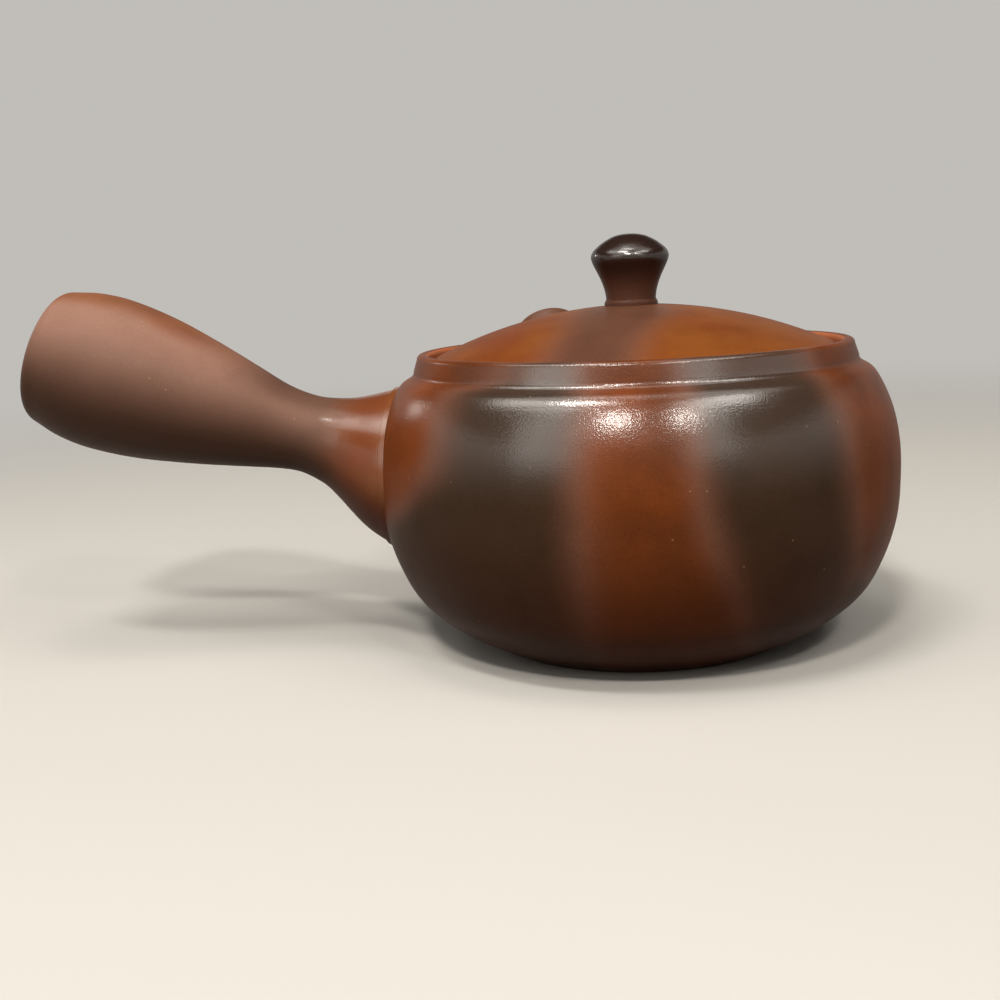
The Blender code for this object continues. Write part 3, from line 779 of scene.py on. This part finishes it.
class Sizes:
    """The sizes in the panel, and what follows from them."""

    def __init__(self, scene):
        self.pot = pot = scene.teapot_pot
        self.handle = scene.teapot_handle
        self.spout = scene.teapot_spout
        self.lid = lid = scene.teapot_lid
        self.steps = scene.teapot_studio.steps
        high, wide = BODY_OUTLINE_shares[0]
        self.cove_height = pot.height * high + pot.cove * math.cos(pot.slope)
        self.collar_foot = pot.radius * wide - pot.cove * (1.0 - math.sin(pot.slope))
        self.collar = self.collar_foot - pot.lean
        self.collar_inside = self.collar - pot.collar_wall
        self.rim = pot.height + pot.collar
        self.seat = self.rim - pot.seat_depth
        self.shelf = self.seat - pot.shelf
        self.mouth = self.collar_inside - pot.seat_width
        self.lid_radius = self.collar_inside - lid.clearance
        self.lid_seat = self.seat + pot.gap
        self.lid_top = self.lid_seat + lid.edge + lid.rise
        self.flange = self.mouth - lid.flange_gap
        self.knob_seat = self.lid_top + pot.gap + lid.knob_slip + pot.gap

    def body_line(self, pieces=6):
        """Outer side of the thrown wall, from the cove's foot down to the base."""
        return smooth_through(scaled(BODY_OUTLINE_shares, self.pot.height, self.pot.radius), pieces)

    def inner_line(self, depth, pieces=6):
        """Inner side of the wall between the ledge's underside and the floor."""
        pot = self.pot
        line = [point for point in inset(self.body_line(pieces), depth)
                if pot.floor + pot.fillet / 4.0 < point.y < self.shelf - pot.shelf_round * 2.0]
        return line + [Vector((line[-1].x - pot.fillet, pot.floor))]

    def toward_spout(self, reach, height):
        turn = self.spout.turn
        return Vector((reach * math.cos(turn), reach * math.sin(turn), height))

    def handle_place(self):
        return Vector((-self.pot.radius, 0.0, self.pot.height * self.handle.height))

    def spout_place(self):
        height = self.pot.height * self.spout.height
        return self.toward_spout(width_at(self.body_line(), height), height)

    def strainer_place(self):
        """Middle of the hole behind the spout, a little behind the pot's inner wall."""
        height = self.pot.height * self.spout.dome_height
        wall = inset(self.body_line(), self.pot.wall)
        return self.toward_spout(width_at(wall, height) + self.spout.dome_sink, height)

    def handle_line(self):
        return smooth_through(scaled(HANDLE_OUTLINE_shares, self.handle.length, self.handle.radius), 4)

    def spout_line(self):
        return smooth_through(scaled(SPOUT_OUTLINE_shares, self.spout.length, self.spout.root), 4)

    def skin(self, depth):
        """A cutter as large as the outside of the pot, its collar too, grown by depth."""
        line = inset(self.body_line(), -depth)
        top, foot = self.rim + depth, self.collar_foot + depth
        section = corners((0.0, top), (foot, top), (foot, self.cove_height + depth))
        section += line[:-1] + corners((line[-1].x, -depth), (0.0, -depth))
        return turned("skin", section, self.steps)

    def cavity(self):
        """A cutter as large as the inside of the pot, less the gap."""
        pot = self.pot
        line = self.inner_line(pot.wall + pot.gap)
        top, low = self.shelf - pot.gap - pot.shelf_round, pot.floor + pot.gap
        section = corners((0.0, top), (line[0].x - pot.shelf_round * 4.0, top))
        section += line[:-1] + corners((line[-1].x, low), (0.0, low))
        return turned("cavity", section, self.steps)

    def slip(self, name, root, wall, steps, at, rise, turn):
        """The bead of slip round a root: a tube's slice between two skins of the pot."""
        pot = self.pot
        line = inset(root, -pot.proud)
        bead = turned(name, line + inset(line, wall + pot.proud)[::-1], steps, True)
        stood(bead, at, rise, turn)
        cut(bead, self.skin(-pot.gap * BEAD_SINK_share))
        cut(bead, self.skin(pot.slip * BEAD_REACH_share), "INTERSECT")
        return eased(bead, pot.proud * BEAD_ROUND_share)


def tube(outer, wall, top, bottom):
    """Inner side of a tube, from the bottom up."""
    return [point for point in inset(outer, wall) if bottom < point.y < top][::-1]


class TEAPOT_OT_stage(bpy.types.Operator):
    """Set the floor, the lamps, the room's light and the camera"""
    bl_idname = "teapot.stage"
    bl_label = "Stage"

    def execute(self, context):
        studio = context.scene.teapot_studio
        self.sweep(studio)
        self.lamps(studio)
        self.room(studio)
        self.camera(context)
        context.scene.view_settings.view_transform = "Standard"
        return {"FINISHED"}

    def sweep(self, studio):
        """A floor that curves up into a wall all round."""
        section = [Vector((reach, 0.0)) for reach in (0.0, 0.3, 0.9, FLOOR_REACH)]
        section += arc((FLOOR_REACH, FLOOR_CURVE), FLOOR_CURVE, -90.0, 0.0, 24)[1:]
        floor = turned("studio_floor", section, FLOOR_SIDES)
        with editing(floor):
            bpy.ops.mesh.flip_normals()
        bpy.ops.object.shade_smooth()
        floor.data.materials.clear()
        floor.data.materials.append(floor_finish(studio.backdrop))

    def lamps(self, studio):
        for name, azimuth, rise, away, wide, high, power in LAMPS:
            azimuth, rise = math.radians(azimuth), math.radians(rise)
            level = math.cos(rise)
            ray = Vector((level * math.cos(azimuth), level * math.sin(azimuth), math.sin(rise)))
            bpy.ops.object.light_add(type="AREA", location=LAMP_AIM + ray * away)
            lamp = bpy.context.object
            lamp.name = name
            lamp.rotation_euler = ray.to_track_quat("Z", "Y").to_euler()
            lamp.data.shape = "RECTANGLE"
            lamp.data.size = wide
            lamp.data.size_y = high
            lamp.data.energy = power * studio.lamps
            lamp.data.color = LAMP_COLOUR
            lamp.visible_camera = False

    def room(self, studio):
        """Even light from all round, and the backdrop's colour where the sweep ends."""
        world = bpy.data.worlds.new("room")
        world.use_nodes = True
        bpy.context.scene.world = world
        light = world.node_tree.nodes["Background"]
        light.inputs["Color"].default_value = full(studio.backdrop)
        light.inputs["Strength"].default_value = studio.room

    def camera(self, context):
        bpy.ops.object.camera_add(location=CAMERA_PLACE)
        camera = bpy.context.object
        ahead = Vector(CAMERA_AHEAD).normalized()
        level = ahead.cross(Vector((0.0, 0.0, 1.0))).normalized()
        upright = level.cross(ahead)
        roll = math.radians(CAMERA_ROLL)
        across = level * math.cos(roll) - upright * math.sin(roll)
        up = level * math.sin(roll) + upright * math.cos(roll)
        turn = Matrix((across, up, -ahead)).transposed().to_4x4()
        camera.matrix_world = Matrix.Translation(CAMERA_PLACE) @ turn
        camera.data.sensor_width = 36.0
        camera.data.lens = CAMERA_LENS
        context.scene.camera = camera


class TEAPOT_OT_pot(bpy.types.Operator):
    """Throw the pot, with its ledge, collar and the hole behind the spout"""
    bl_idname = "teapot.pot"
    bl_label = "Pot"

    def execute(self, context):
        made = Sizes(context.scene)
        colours = context.scene.teapot_finish
        pot, spout = made.pot, made.spout
        inside = made.inner_line(pot.wall)
        edge = pot.shelf_round
        section = corners((0.0, pot.floor)) + inside[::-1]
        section += corners((inside[0].x - edge * 4.0, made.shelf - edge / 2.0))
        section += arc((made.mouth + edge, made.shelf + edge), edge, 270.0, 180.0)
        section += arc((made.mouth + edge, made.seat - edge), edge, 180.0, 90.0)
        section += corners((made.collar_inside, made.seat))
        section += arc((made.collar_inside + pot.rim, made.rim - pot.rim), pot.rim, 180.0, 90.0)
        section += arc((made.collar - pot.rim, made.rim - pot.rim), pot.rim, 90.0, 0.0)
        section += arc((made.collar_foot + pot.cove, made.cove_height), pot.cove, 180.0,
                       270.0 - math.degrees(pot.slope), 10)
        section += made.body_line()[1:] + corners((0.0, 0.0))
        piece = turned("pot", section, made.steps)
        cutter = drill(spout.hole, pot.wall * 3.0, made.steps // 2)
        cut(piece, stood(cutter, made.strainer_place(), 0.0, spout.turn))
        finish = pot_finish(colours, "clay_pot", smoke_on_wall, colours.clay, colours.clay_deep,
                            bare_gloss=0.2, smoke_gloss=0.76)
        fired(piece, finish, "pot", "body")
        piece.data.materials.append(inside_finish(colours))
        wall = inset(made.body_line(), pot.wall / 2.0)
        for face in piece.data.polygons:
            middle = face.center
            away = math.hypot(middle.x, middle.y)
            if middle.z < made.shelf:
                face.material_index = middle.z > pot.floor / 2.0 and away < width_at(wall, middle.z)
            else:
                face.material_index = away < made.collar_inside + pot.rim / 2.0 and middle.z < made.rim
        return {"FINISHED"}


class TEAPOT_OT_handle(bpy.types.Operator):
    """Turn the hollow handle and the bead of slip that holds it"""
    bl_idname = "teapot.handle"
    bl_label = "Handle"

    def execute(self, context):
        made = Sizes(context.scene)
        colours = context.scene.teapot_finish
        pot, handle = made.pot, made.handle
        steps = made.steps * 2 // 3
        outer = made.handle_line()
        edge = outer[0]
        lip = handle.length - handle.lip
        ease = handle.mouth_edge
        section = arc((handle.mouth + ease, handle.length - ease), ease, 180.0, 90.0)
        flare = math.atan2(outer[1].x - edge.x, edge.y - outer[1].y)
        section += arc((edge.x - handle.edge / math.cos(flare), handle.length - handle.edge), handle.edge,
                       90.0, math.degrees(flare), 10)
        section += outer + [outer[-1] - Vector((handle.wall, 0.0))]
        section += tube(outer, handle.wall, lip, outer[-1].y)
        section += corners((edge.x - handle.wall, lip), (handle.mouth, lip))
        at = made.handle_place()
        piece = turned("handle", section, steps, True)
        pushed(piece, handle.neck, (-handle.lift, 0.0, 0.0), handle.give)
        stood(piece, at, handle.rise, math.pi)
        cut(piece, made.skin(pot.slip * ROOT_REACH_share))
        finish = handle_finish(colours, at, (0.0, math.pi / 2.0 - handle.rise, math.pi))
        fired(piece, finish, "pot", "handle")
        root = [point for point in outer if point.y < handle.radius / 2.0]
        at = at + Vector((math.sin(handle.rise), 0.0, math.cos(handle.rise))) * handle.lift
        bead = made.slip("handle_slip", root, handle.wall, steps, at, handle.rise, math.pi)
        fired(bead, finish, "pot", "handle_joint")
        return {"FINISHED"}


class TEAPOT_OT_spout(bpy.types.Operator):
    """Turn the spout and the bead of slip that holds it"""
    bl_idname = "teapot.spout"
    bl_label = "Spout"

    def execute(self, context):
        made = Sizes(context.scene)
        colours = context.scene.teapot_finish
        pot, spout = made.pot, made.spout
        steps = made.steps // 2
        outer = made.spout_line()
        tip, lip = outer[0], spout.lip
        section = arc((tip.x - spout.wall + lip, tip.y - lip), lip, 180.0, 90.0)
        section += arc((max(tip.x - lip, tip.x - spout.wall / 2.0), tip.y - lip), lip, 90.0, 0.0)
        section += outer[1:] + [outer[-1] - Vector((spout.wall, 0.0))]
        section += tube(outer, spout.wall, tip.y - lip * 2.0, outer[-1].y)
        at = made.spout_place()
        piece = stood(turned("spout", section, steps, True), at, spout.rise, spout.turn)
        cut(piece, made.skin(pot.slip * ROOT_REACH_share))
        finish = spout_finish(colours)
        fired(piece, finish, "pot", "spout")
        root = [point for point in outer if point.y < spout.root]
        bead = made.slip("spout_slip", root, spout.wall, steps, at, spout.rise, spout.turn)
        fired(bead, finish, "pot", "spout_joint")
        return {"FINISHED"}


class TEAPOT_OT_strainer(bpy.types.Operator):
    """Throw the strainer's dome, fit it to the pot's inner wall and pierce it"""
    bl_idname = "teapot.strainer"
    bl_label = "Strainer"

    def execute(self, context):
        made = Sizes(context.scene)
        colours = context.scene.teapot_finish
        spout = made.spout
        at = made.strainer_place()
        section = arc((0.0, 0.0), spout.dome, 90.0, -10.0, 24)
        section += arc((0.0, 0.0), spout.dome - spout.dome_wall, -10.0, 90.0, 24)
        section[0].x = section[-1].x = 0.0
        piece = stood(turned("strainer", section, made.steps // 2), at, math.pi, spout.turn)
        cut(piece, made.cavity(), "INTERSECT")
        cut(piece, stood(self.pegs(spout), at, math.pi, spout.turn))
        fired(piece, inside_finish(colours), "pot", "strainer")
        return {"FINISHED"}

    def pegs(self, spout):
        """Round pegs on rings about the dome's middle, one pitch apart, as one cutter."""
        step = spout.pitch / spout.dome
        rings = int(spout.pierced * math.pi / 2.0 / step)
        pegs = []
        for ring in range(rings + 1):
            tilt = ring * step
            count = max(1, round(math.tau * math.sin(tilt) / step))
            for number in range(count):
                turn = math.tau * (number + ring % 2 / 2.0) / count
                spin = Matrix.Rotation(turn, 4, "Z") @ Matrix.Rotation(tilt, 4, "Y")
                out = spin @ Vector((0.0, 0.0, spout.dome - spout.dome_wall / 2.0))
                bpy.ops.object.select_all(action="DESELECT")
                bpy.ops.mesh.primitive_cylinder_add(
                    vertices=PEG_SIDES, radius=spout.pierce, depth=spout.dome_wall * 3.0, location=out,
                    rotation=spin.to_euler())
                pegs.append(bpy.context.object)
        only(*pegs)
        bpy.ops.object.join()
        bpy.ops.object.transform_apply(location=True, rotation=True, scale=True)
        return pegs[0]


class TEAPOT_OT_lid(bpy.types.Operator):
    """Turn the lid with its flange and bore its vent"""
    bl_idname = "teapot.lid"
    bl_label = "Lid"

    def execute(self, context):
        made = Sizes(context.scene)
        colours = context.scene.teapot_finish
        lid = made.lid
        top = made.lid_top - made.lid_seat
        ease, soft = lid.edge_round, lid.flange_round
        bore = made.flange - lid.flange_wall
        hollow = self.dome(made.lid_radius, lid.rise, top, lid.wall)
        under = [point for point in hollow if point.x < bore - soft]
        section = self.dome(made.lid_radius - ease, lid.rise - ease / 2.0, top, 0.0)
        section += arc((made.lid_radius - ease, lid.edge - ease), ease, 60.0, 0.0, 4)
        section += arc((made.lid_radius - ease, ease), ease, 0.0, -90.0, 4)
        section += corners((made.flange, 0.0))
        section += arc((made.flange - soft, soft - lid.flange_depth), soft, 0.0, -90.0)
        section += arc((bore + soft, soft - lid.flange_depth), soft, 270.0, 180.0)
        section += corners((bore, under[-1].y - soft)) + under[::-1]
        piece = stood(turned("lid", section, made.steps), (0.0, 0.0, made.lid_seat))
        vent = made.toward_spout(made.lid_radius * lid.vent_place, made.lid_top)
        cut(piece, stood(drill(lid.vent, lid.wall * 2.0, VENT_SIDES), vent))
        finish = pot_finish(colours, "clay_lid", smoke_on_lid, colours.lid, colours.clay,
                            bare_gloss=0.07, smoke_gloss=0.0)
        fired(piece, finish, "lid", "lid")
        return {"FINISHED"}

    def dome(self, radius, rise, top, depth):
        """A dome's arc from its middle out to a radius, set in by depth."""
        ball = ball_radius(radius, rise)
        reach, swing = math.asin(radius / ball), ball - depth
        line = []
        for number in range(DOME_POINTS + 1):
            angle = reach * number / DOME_POINTS
            line.append(Vector((swing * math.sin(angle), top - ball + swing * math.cos(angle))))
        return line


class TEAPOT_OT_knob(bpy.types.Operator):
    """Turn the knob and the ring of slip under it"""
    bl_idname = "teapot.knob"
    bl_label = "Knob"

    def execute(self, context):
        made = Sizes(context.scene)
        colours = context.scene.teapot_finish
        lid = made.lid
        steps = made.steps // 2
        section = smooth_through(scaled(KNOB_OUTLINE_shares, lid.knob_height, lid.knob_radius), 4)
        sunk = -KNOB_SINK_share * made.pot.gap
        section += corners((section[-1].x, sunk), (0.0, sunk))
        knob = stood(turned("knob", section, steps), (0.0, 0.0, made.knob_seat))
        finish = knob_finish(colours)
        fired(knob, finish, "lid", "knob")
        wide = lid.knob_radius * KNOB_OUTLINE_shares[-1][1] + lid.knob_proud
        half = lid.knob_slip / 2.0
        ball = ball_radius(made.lid_radius, lid.rise)
        drop = wide * wide / (2.0 * ball)
        section = corners((0.0, lid.knob_slip))
        section += arc((wide, lid.knob_slip), lid.knob_proud * 0.85, 180.0, 225.0, 4)
        section += arc((wide - half * 0.3, half * 0.3), half * 0.3, 60.0, 0.0, 4)
        section += corners((wide, sunk - drop), (wide / 2.0, sunk - drop / 4.0), (0.0, sunk))
        ring = stood(turned("knob_slip", section, steps), (0.0, 0.0, made.lid_top + made.pot.gap))
        fired(ring, finish, "lid", "knob_joint")
        return {"FINISHED"}


class TEAPOT_PT_panel(bpy.types.Panel):
    """Lists the pieces and their sizes"""
    bl_idname = "TEAPOT_PT_panel"
    bl_label = "Side-handled teapot"
    bl_space_type = "VIEW_3D"
    bl_region_type = "UI"
    bl_category = "Teapot"

    def draw(self, context):
        for name, group, operators in SECTIONS:
            box = self.layout.box()
            box.label(text=name)
            for operator in operators:
                box.operator(operator.bl_idname)
            sizes = getattr(context.scene, group)
            for size in type(sizes).__annotations__:
                box.prop(sizes, size)


GROUPS = {
    "teapot_pot": TeapotPot, "teapot_handle": TeapotHandle, "teapot_spout": TeapotSpout,
    "teapot_lid": TeapotLid, "teapot_finish": TeapotFinish, "teapot_studio": TeapotStudio,
}
SECTIONS = (
    ("Studio", "teapot_studio", (TEAPOT_OT_stage,)),
    ("Pot", "teapot_pot", (TEAPOT_OT_pot,)),
    ("Handle", "teapot_handle", (TEAPOT_OT_handle,)),
    ("Spout", "teapot_spout", (TEAPOT_OT_spout, TEAPOT_OT_strainer)),
    ("Lid", "teapot_lid", (TEAPOT_OT_lid, TEAPOT_OT_knob)),
    ("Clay", "teapot_finish", ()),
)
OPERATORS = [operator for _, _, operators in SECTIONS for operator in operators]


def register():
    for made in (*GROUPS.values(), *OPERATORS, TEAPOT_PT_panel):
        bpy.utils.register_class(made)
    for name, group in GROUPS.items():
        setattr(bpy.types.Scene, name, PointerProperty(type=group))


def unregister():
    for name in GROUPS:
        delattr(bpy.types.Scene, name)
    for made in (TEAPOT_PT_panel, *reversed(OPERATORS), *reversed(GROUPS.values())):
        bpy.utils.unregister_class(made)


def main():
    register()
    bpy.ops.teapot.stage()
    bpy.ops.teapot.pot()
    bpy.ops.teapot.handle()
    bpy.ops.teapot.spout()
    bpy.ops.teapot.strainer()
    bpy.ops.teapot.lid()
    bpy.ops.teapot.knob()


if __name__ == "__main__":
    main()
